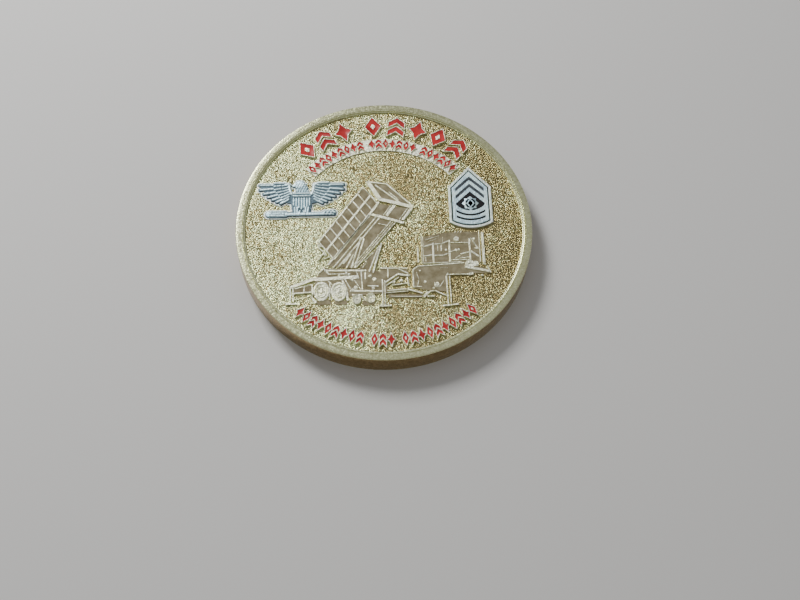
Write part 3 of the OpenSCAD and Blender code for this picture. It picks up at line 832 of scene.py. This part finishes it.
panels("cab_panels", [
    ([(4.6, -12.1), (4.6, -8.7), (5.3, -8.1), (13.4, -7.5), (17.4, -8.7), (17.9, -9.5),
      (10.6, -9.5), (10.2, -12.9), (6.5, -12.5)],),
    ([(6.3, -7.4), (6.3, -2.4), (9.2, -1.6), (12.5, -1.3), (16.3, -1.4), (16.3, -7.4)], plate_lift - 0.01),
])


# ------------------------------------------------------------
# Bird badge: a flat silver-plated casting of a spread-winged bird with a fluted shield on a perch,
# seated on a low gold seat of the same outline that shows as a narrow edge round it.
# ------------------------------------------------------------
bird_x = -14.2
feather_len = 5.0
bird_seat_z = field_z + 0.12 * MM
bird_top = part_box("eagle_badge")[1].z


def stadium(x0, y0, x1, y1, width):
    """Outline of a round-ended bar in mm."""
    turn = math.degrees(math.atan2(y1 - y0, x1 - x0))
    r = width / 2
    far = [math.radians(turn + a) for a in range(-90, 91, 30)]
    near = [math.radians(turn + a) for a in range(90, 271, 30)]
    outline = [(x1 + r * math.cos(a), y1 + r * math.sin(a)) for a in far]
    return outline + [(x0 + r * math.cos(a), y0 + r * math.sin(a)) for a in near]


def feather_ends(i, lean=0.0):
    """Root and tip of feather i of a wing that points right, from the leading edge down."""
    x, y = 2.3, 8.55 - 0.5 * i
    turn = math.radians(5.2 * i + lean)
    reach = min(feather_len, 1.15 * feather_len - 0.7 * i)
    return x, y, x + reach * math.cos(turn), y - reach * math.sin(turn)


def bird_outlines(g):
    """The outlines, side by side, that make the whole bird, each moved out by g."""
    shapes = []
    for side in (-1, 1):
        for i in range(7):
            x0, y0, x1, y1 = feather_ends(i)
            shapes.append(stadium(side * x0, y0, side * x1, y1, 0.8 + 2 * g))
        wing = [(1.6, 5 - g), (2.6, 4.9 - g), (5.0, 6.6), (6.0, 8.2), (2.6, 8.6), (1.6, 7.2)]
        shapes.append([(side * x, y) for x, y in wing][::side])
        web = [(1.6, 4.6 - g), (2.5, 4.75 - g), (3.9, 5.55 - g), (5.3, 6.35 - g), (6.5, 7.2 - g),
               (7.2, 8.0 - g), (7.3, 8.9 + g), (2.6, 8.95 + g), (1.6, 7.2)]
        shapes.append([(side * x, y) for x, y in web][::side])
    shapes.append(stadium(-0.32, 8.6, -0.28, 8.6, 1.9 + 2 * g))
    shapes.append([(-0.9, 9.1 + g), (-1.85 - g, 8.3), (-1.5 - g, 7.95 - g), (-0.6, 8 - g)])
    shapes.append([(-1.1 - g, 6.6), (1.6 + g, 6.6), (0.6 + g, 8.8), (-1.15 - g, 8.3)])
    shapes.append([(-1.75 - g, 7 + g), (-1.75 - g, 4.3), (0, 3.2 - g), (1.75 + g, 4.3), (1.75 + g, 7 + g)])
    shapes.append([(-2 - g, 5.2), (-1.6 - g, 2.7), (1.6 + g, 2.7), (2 + g, 5.2)])
    shapes.append(stadium(-5.6, 2.6, 5.6, 2.6, 1 + 2 * g))
    shapes.append(stadium(-5.6, 2.6, -2.8, 2.6, 1.5 + 2 * g))
    shapes.append(stadium(4.1, 2.78, 5.5, 2.86, 1.25 + 2 * g))
    return shapes


def at_bird(outline):
    """An outline about the bird's middle line, in mm, set at its place in metres."""
    return in_mm([(bird_x + x, y) for x, y in outline])


def cast_as_one(name, parts, voxel):
    """Melts overlapping parts into one closed skin with softened corners."""
    piece = joined(name, parts)
    only(piece)
    skin = piece.modifiers.new("one_skin", "REMESH")
    skin.mode = "VOXEL"
    skin.voxel_size = voxel
    bpy.ops.object.modifier_apply(modifier=skin.name)
    soften = piece.modifiers.new("softened", "SMOOTH")
    soften.iterations = 1
    bpy.ops.object.modifier_apply(modifier=soften.name)
    bpy.ops.object.shade_smooth()
    return piece


def raised(outline, base, rise, slope):
    """A raised shape of the bird with sloping sides, its base and rise in mm over the seat."""
    piece = plate("raised", at_bird(outline), bird_seat_z + 0.02 * MM, bird_seat_z + base * MM)
    bpy.ops.mesh.inset(thickness=slope * MM, depth=rise * MM)
    close_mesh()
    return piece


seat_parts = [
    solid("seat_part", at_bird(outline), field_z - sunk, bird_seat_z) for outline in bird_outlines(0.22)
]
bird_seat = cast_as_one("bird_seat", seat_parts, 0.075 * MM)

# Pale gold of the badge seats and wall: paler and greener than the other gold, a painted highlight for the
# pale halo round the badges
pale_highlight_gold = metal("pale_highlight_gold", (0.85, 0.93, 0.82), 0.4)
mottled(pale_highlight_gold, 900, 4, [(0.35, (0.80, 0.94, 0.80)), (0.62, (0.95, 1.0, 0.94))], (0.42, 0.58))
rough_skin(pale_highlight_gold, 4200, 2, 0.13 * MM, 0.9)
finish(bird_seat, pale_highlight_gold)

# The bird's shapes, each as its outline, base, rise and slope: first the flat ground of them all
bird_shapes = [(outline, 0.08, 0.03, 0.05) for outline in bird_outlines(-0.04)]
# Three rows of quills on each wing, and the rounded arm that they hang from
for side in (-1, 1):
    for i in range(7):
        for share_in, share_out, width in ((0.54, 0.97, 0.4), (0.27, 0.49, 0.33), (-0.07, 0.21, 0.31)):
            x0, y0, x1, y1 = feather_ends(i, 12 * (1 - share_out))
            quill = stadium(
                side * (x0 + share_in * (x1 - x0)), y0 + share_in * (y1 - y0),
                side * (x0 + share_out * (x1 - x0)), y0 + share_out * (y1 - y0), width,
            )
            bird_shapes.append((quill, 0.16, 0.09, 0.11))
    arm = [(4.7, 8.95), (2.85, 8.95), (2.2, 8.5), (2.0, 7.3), (1.7, 6.6)]
    for (x0, y0), (x1, y1) in zip(arm, arm[1:]):
        bird_shapes.append((stadium(side * x0, y0, side * x1, y1, 0.46), 0.2, 0.09, 0.14))
# Head, beak, and neck with rows of small feathers
bird_shapes += [
    (stadium(-0.35, 8.6, -0.25, 8.65, 1.7), 0.12, 0.08, 0.3),
    ([(-0.9, 9.05), (-1.8, 8.35), (-1.5, 8.0), (-0.7, 8.1)], 0.14, 0.08, 0.12),
    ([(-1.0, 6.9), (1.45, 6.9), (0.6, 8.7), (-0.95, 8.3)], 0.1, 0.04, 0.1),
]
for row in range(5):
    for k in range(5 - row % 2):
        x = -0.75 + 0.45 * k + 0.22 * (row % 2) - 0.05 * row
        y = 7.2 + 0.38 * row
        bird_shapes.append((stadium(x - 0.03, y, x + 0.03, y, 0.27), 0.19, 0.08, 0.07))
# Shield with two bars and seven flutes, and the leg feathers below it
bird_shapes.append(([(-1.65, 6.9), (-1.65, 4.4), (0, 3.4), (1.65, 4.4), (1.65, 6.9)], 0.08, 0.03, 0.06))
for y in (6.75, 6.25):
    bird_shapes.append((stadium(-1.4, y, 1.4, y, 0.34), 0.19, 0.09, 0.1))
for k in range(7):
    x = -1.38 + 0.46 * k
    bird_shapes.append((stadium(x, 5.75, x, 4.35 - 0.25 * (3 - abs(k - 3)), 0.27), 0.19, 0.09, 0.08))
for x in (-1.2, -0.75, 0.75, 1.2):
    bird_shapes.append((stadium(x, 3.9, x * 0.9, 3.0, 0.32), 0.15, 0.08, 0.1))
# Claws, and the perch with its ribbed grip and leafy end
bird_shapes += [
    (stadium(-0.25, 3.2, -0.4, 2.5, 0.3), 0.2, 0.08, 0.1),
    (stadium(0.35, 3.2, 0.6, 2.5, 0.3), 0.2, 0.08, 0.1),
    (stadium(-2.6, 2.55, 3.8, 2.6, 0.6), 0.15, 0.08, 0.14),
    (stadium(-5.5, 2.6, -2.9, 2.6, 1.42), 0.12, 0.05, 0.25),
]
for y in (2.3, 2.65, 3.0):
    bird_shapes.append((stadium(-5.5, y, -2.9, y - 0.1, 0.26), 0.2, 0.08, 0.08))
for x in (3.85, 4.45, 5.05):
    for side in (-1, 1):
        leaf = stadium(x, 2.75 + side * 0.12, x + 0.42, 2.8 + side * 0.36, 0.3)
        bird_shapes.append((leaf, 0.19, 0.09, 0.09))
bird_shapes.append((stadium(5.6, 2.85, 5.8, 2.87, 0.3), 0.19, 0.09, 0.09))
bird = cast_as_one("bird_badge", [raised(*shape) for shape in bird_shapes], 0.055 * MM)

# Satin silver plate: cool and pale on its high places, with painted shade taking its low places nearly to
# black
satin_silver = metal("satin_silver", (0.72, 0.79, 0.84), 0.3)
tarnish = texture(satin_silver, "noise", 1500, 4)
spread(satin_silver, tarnish.outputs["Fac"], "Roughness", [(0.3, grey(0.38)), (0.7, grey(0.56))])
rough_skin(satin_silver, 5000, 2, 0.09 * MM, 0.8)
# Base colour by height over the seat: painted shade, darker the lower the surface lies
height = node_between(satin_silver, "ShaderNodeSeparateXYZ",
                      satin_silver.node_tree.nodes["Texture Coordinate"].outputs["Object"])
level = satin_silver.node_tree.nodes.new("ShaderNodeMapRange")
level.inputs["From Min"].default_value = bird_seat_z + 0.08 * MM
level.inputs["From Max"].default_value = bird_top
satin_silver.node_tree.links.new(height.outputs["Z"], level.inputs["Value"])
spread(satin_silver, level.outputs["Result"], "Base Color",
       [(0.0, (0.03, 0.04, 0.05)), (0.25, (0.15, 0.22, 0.26)), (0.45, (0.64, 0.90, 0.99)),
        (1.0, (0.82, 1.0, 1.0))])
finish(bird, satin_silver, "eagle_badge")


# ------------------------------------------------------------
# Chevron badge: a flat silver-plated plate seated inside a gold wall struck up from the field. Two
# chevrons, a lens and two curved bars are sunk in it for enamel, round a raised plain rosette.
# ------------------------------------------------------------
badge_x = 15.05
badge_low, badge_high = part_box("chevron_badge")
badge_floor = badge_high.z - 0.16 * MM
badge_half_w = 3.2
badge_gap = 0.12
badge_wall_w = 0.43
arc_y = 6
mark_half_w = 2.5
rocker_half_w = 0.18
rosette_y = 4.2


def arc(r, half_w, count=14):
    """Points in mm of a bottom arc about the badge's centre, from left to right."""
    half = math.asin(half_w / r)
    turns = [half * (2 * k / count - 1) for k in range(count + 1)]
    return [(r * math.sin(t), arc_y - r * math.cos(t)) for t in turns]


def badge_outline(grow):
    """Outline in mm of the badge: straight sides, a pointed top and a curved foot."""
    half_w = badge_half_w + grow
    slope = 3.55 / badge_half_w
    up = grow * math.hypot(1, slope)
    shoulder = 7.4 - slope * grow + up
    return arc(6.15 + grow, half_w) + [(half_w, shoulder), (0, 10.95 + up), (-half_w, shoulder)]


def at_badge(outline):
    """An outline about the badge's middle line, in mm, set at its place in metres."""
    return in_mm([(badge_x + x, y) for x, y in outline])


def rocker(r):
    """Outline of one curved bar of this radius."""
    return arc(r + rocker_half_w, mark_half_w) + arc(r - rocker_half_w, mark_half_w)[::-1]


marks = [
    chevron(2 * mark_half_w, 2.4, 0.7, 6.6, 0), chevron(2 * mark_half_w, 2.4, 0.7, 5.1, 0),
    arc(3.25, mark_half_w) + [(2.5, 4.2), (0, 6.6), (-2.5, 4.2)], rocker(4.15), rocker(5.1),
]
wall_outline = badge_outline(badge_gap + badge_wall_w)
wall = plate("badge_wall", at_badge(wall_outline), field_z - sunk, wall_top)
step_top(badge_wall_w * MM, badge_low.z - wall_top)
close_mesh()
# The wall takes the pale gold with its painted highlight
finish(rounded(wall, 0.06 * MM, 3), pale_highlight_gold)

# The floor of the narrow gap between wall and plate is painted nearly black, as painted shade
gap_painted_shade = metal("gap_painted_shade", (0.05, 0.05, 0.045), 0.5)
gap_shade_mottle = mottled(gap_painted_shade, 2400, 3, [(0.35, (0.02, 0.022, 0.02)), (0.65, (0.10, 0.095, 0.07))])
grain(gap_painted_shade, gap_shade_mottle.outputs["Fac"], 0.03 * MM, 0.7)
wall.data.materials.append(gap_painted_shade)
# Upward faces on the gap's floor take the painted shade
for face in wall.data.polygons:
    if face.center.z < badge_low.z + 0.1 * MM and face.normal.z > 0.5:
        face.material_index = 1

badge = solid("badge_plate", at_badge(badge_outline(-badge_gap)), badge_low.z, badge_high.z)
cutters = [solid("cutter", at_badge(mark), badge_floor, badge_high.z + 1 * MM) for mark in marks]
cutter = joined("cutter", cutters)
only(badge)
sink = badge.modifiers.new("sunk_marks", "BOOLEAN")
sink.operation = "DIFFERENCE"
sink.object = cutter
bpy.ops.object.modifier_apply(modifier=sink.name)
remove(cutter)
rounded(badge, 0.04 * MM)


def rosette_points(size, waist, turn):
    """Four ridged points of the rosette, standing on the floor of the lens."""
    piece = plate("points", four_point_star(size * MM, size * MM, waist * MM, 0),
                  badge_floor - 0.02 * MM, badge_high.z - 0.07 * MM)
    bpy.ops.mesh.inset(thickness=0.12 * MM, depth=0.05 * MM)
    close_mesh()
    return settle(piece, turn, badge_x * MM, rosette_y * MM)


centre_outline = [(x, rosette_y + y) for x, y in lozenge(1.5, 1.9, 0)]
centre = plate("centre", at_badge(centre_outline), badge_floor, badge_high.z - 0.01 * MM)
step_top(0.2 * MM, -0.12 * MM)
close_mesh()
rosette = joined("rosette", [
    rosette_points(3.0, 0.75, 0), rosette_points(2.9, 0.7, math.radians(45)), centre,
])
badge = joined("chevron_badge_plate", [badge, rounded(rosette, 0.02 * MM)])

badge_silver = metal("badge_silver", (0.64, 0.74, 0.80), 0.36)
mottled(badge_silver, 600, 5, [(0.36, (0.60, 0.82, 0.92)), (0.62, (0.80, 1.0, 1.0))], (0.44, 0.6))
rough_skin(badge_silver, 3800, 2, 0.11 * MM, 0.9)
finish(badge, badge_silver, "chevron_badge")


# ------------------------------------------------------------
# Black enamel of the chevron badge: the lens and the curved bars are full and glossy, and the two
# chevrons are thinner, so that the metal greys them.
# ------------------------------------------------------------
def enamel(name, dark, light, roughness):
    """Baked black enamel with a faint orange-peel skin."""
    material = bpy.data.materials.new(name)
    material.use_nodes = True
    shader = material.node_tree.nodes["Principled BSDF"]
    shader.inputs["Roughness"].default_value = roughness
    shader.inputs["Coat Weight"].default_value = 0.3
    mottled(material, 900, 3, [(0.35, dark), (0.65, light)])
    rough_skin(material, 2600, 2, 0.02 * MM, 0.35)
    return material


black_enamel = enamel("black_enamel", (0.004, 0.004, 0.005), (0.012, 0.012, 0.014), 0.2)
thin_enamel = enamel("thin_black_enamel", (0.03, 0.038, 0.045), (0.1, 0.12, 0.135), 0.3)
for node in ("upper_chevron_enamel", "lower_chevron_enamel"):
    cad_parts[node].data.materials.clear()
    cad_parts[node].data.materials.append(thin_enamel)
for node in ("lens_enamel", "upper_rocker_enamel", "lower_rocker_enamel"):
    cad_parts[node].data.materials.clear()
    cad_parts[node].data.materials.append(black_enamel)


# ------------------------------------------------------------
# Studio: a plain pale floor, a soft key light behind the coin on the left, a large weak light high
# above it that fills the rim, and the camera.
# ------------------------------------------------------------
bpy.ops.mesh.primitive_plane_add(size=1.6, location=(0, 0, 0))
floor = bpy.context.active_object
floor.name = "floor"
pale_paper = bpy.data.materials.new("pale_paper")
pale_paper.use_nodes = True
pale_paper.node_tree.nodes["Principled BSDF"].inputs["Base Color"].default_value = (0.8, 0.79, 0.77, 1)
pale_paper.node_tree.nodes["Principled BSDF"].inputs["Roughness"].default_value = 0.8
floor.data.materials.append(pale_paper)

for place, size, energy in (((-0.17, 0.26, 0.24), 0.12, 1.4), ((0.05, 0.154, 0.42), 0.25, 0.022)):
    bpy.ops.object.light_add(type="AREA", location=place)
    light = bpy.context.active_object
    light.data.size = size
    light.data.energy = energy
    light.rotation_euler = (-light.location).to_track_quat("-Z", "Y").to_euler()

world = bpy.data.worlds.new("studio")
bpy.context.scene.world = world
world.use_nodes = True
world.node_tree.nodes["Background"].inputs["Color"].default_value = (0.8, 0.8, 0.8, 1)
world.node_tree.nodes["Background"].inputs["Strength"].default_value = 0.33

bpy.ops.object.camera_add(location=(-3.33 * MM, -103.7 * MM, 176.4 * MM))
camera = bpy.context.active_object
camera.rotation_euler = (math.radians(27.381), math.radians(-1.02), math.radians(-1.637))
camera.data.lens = 52.68
camera.data.sensor_width = 36
camera.data.clip_start = 0.01
bpy.context.scene.camera = camera
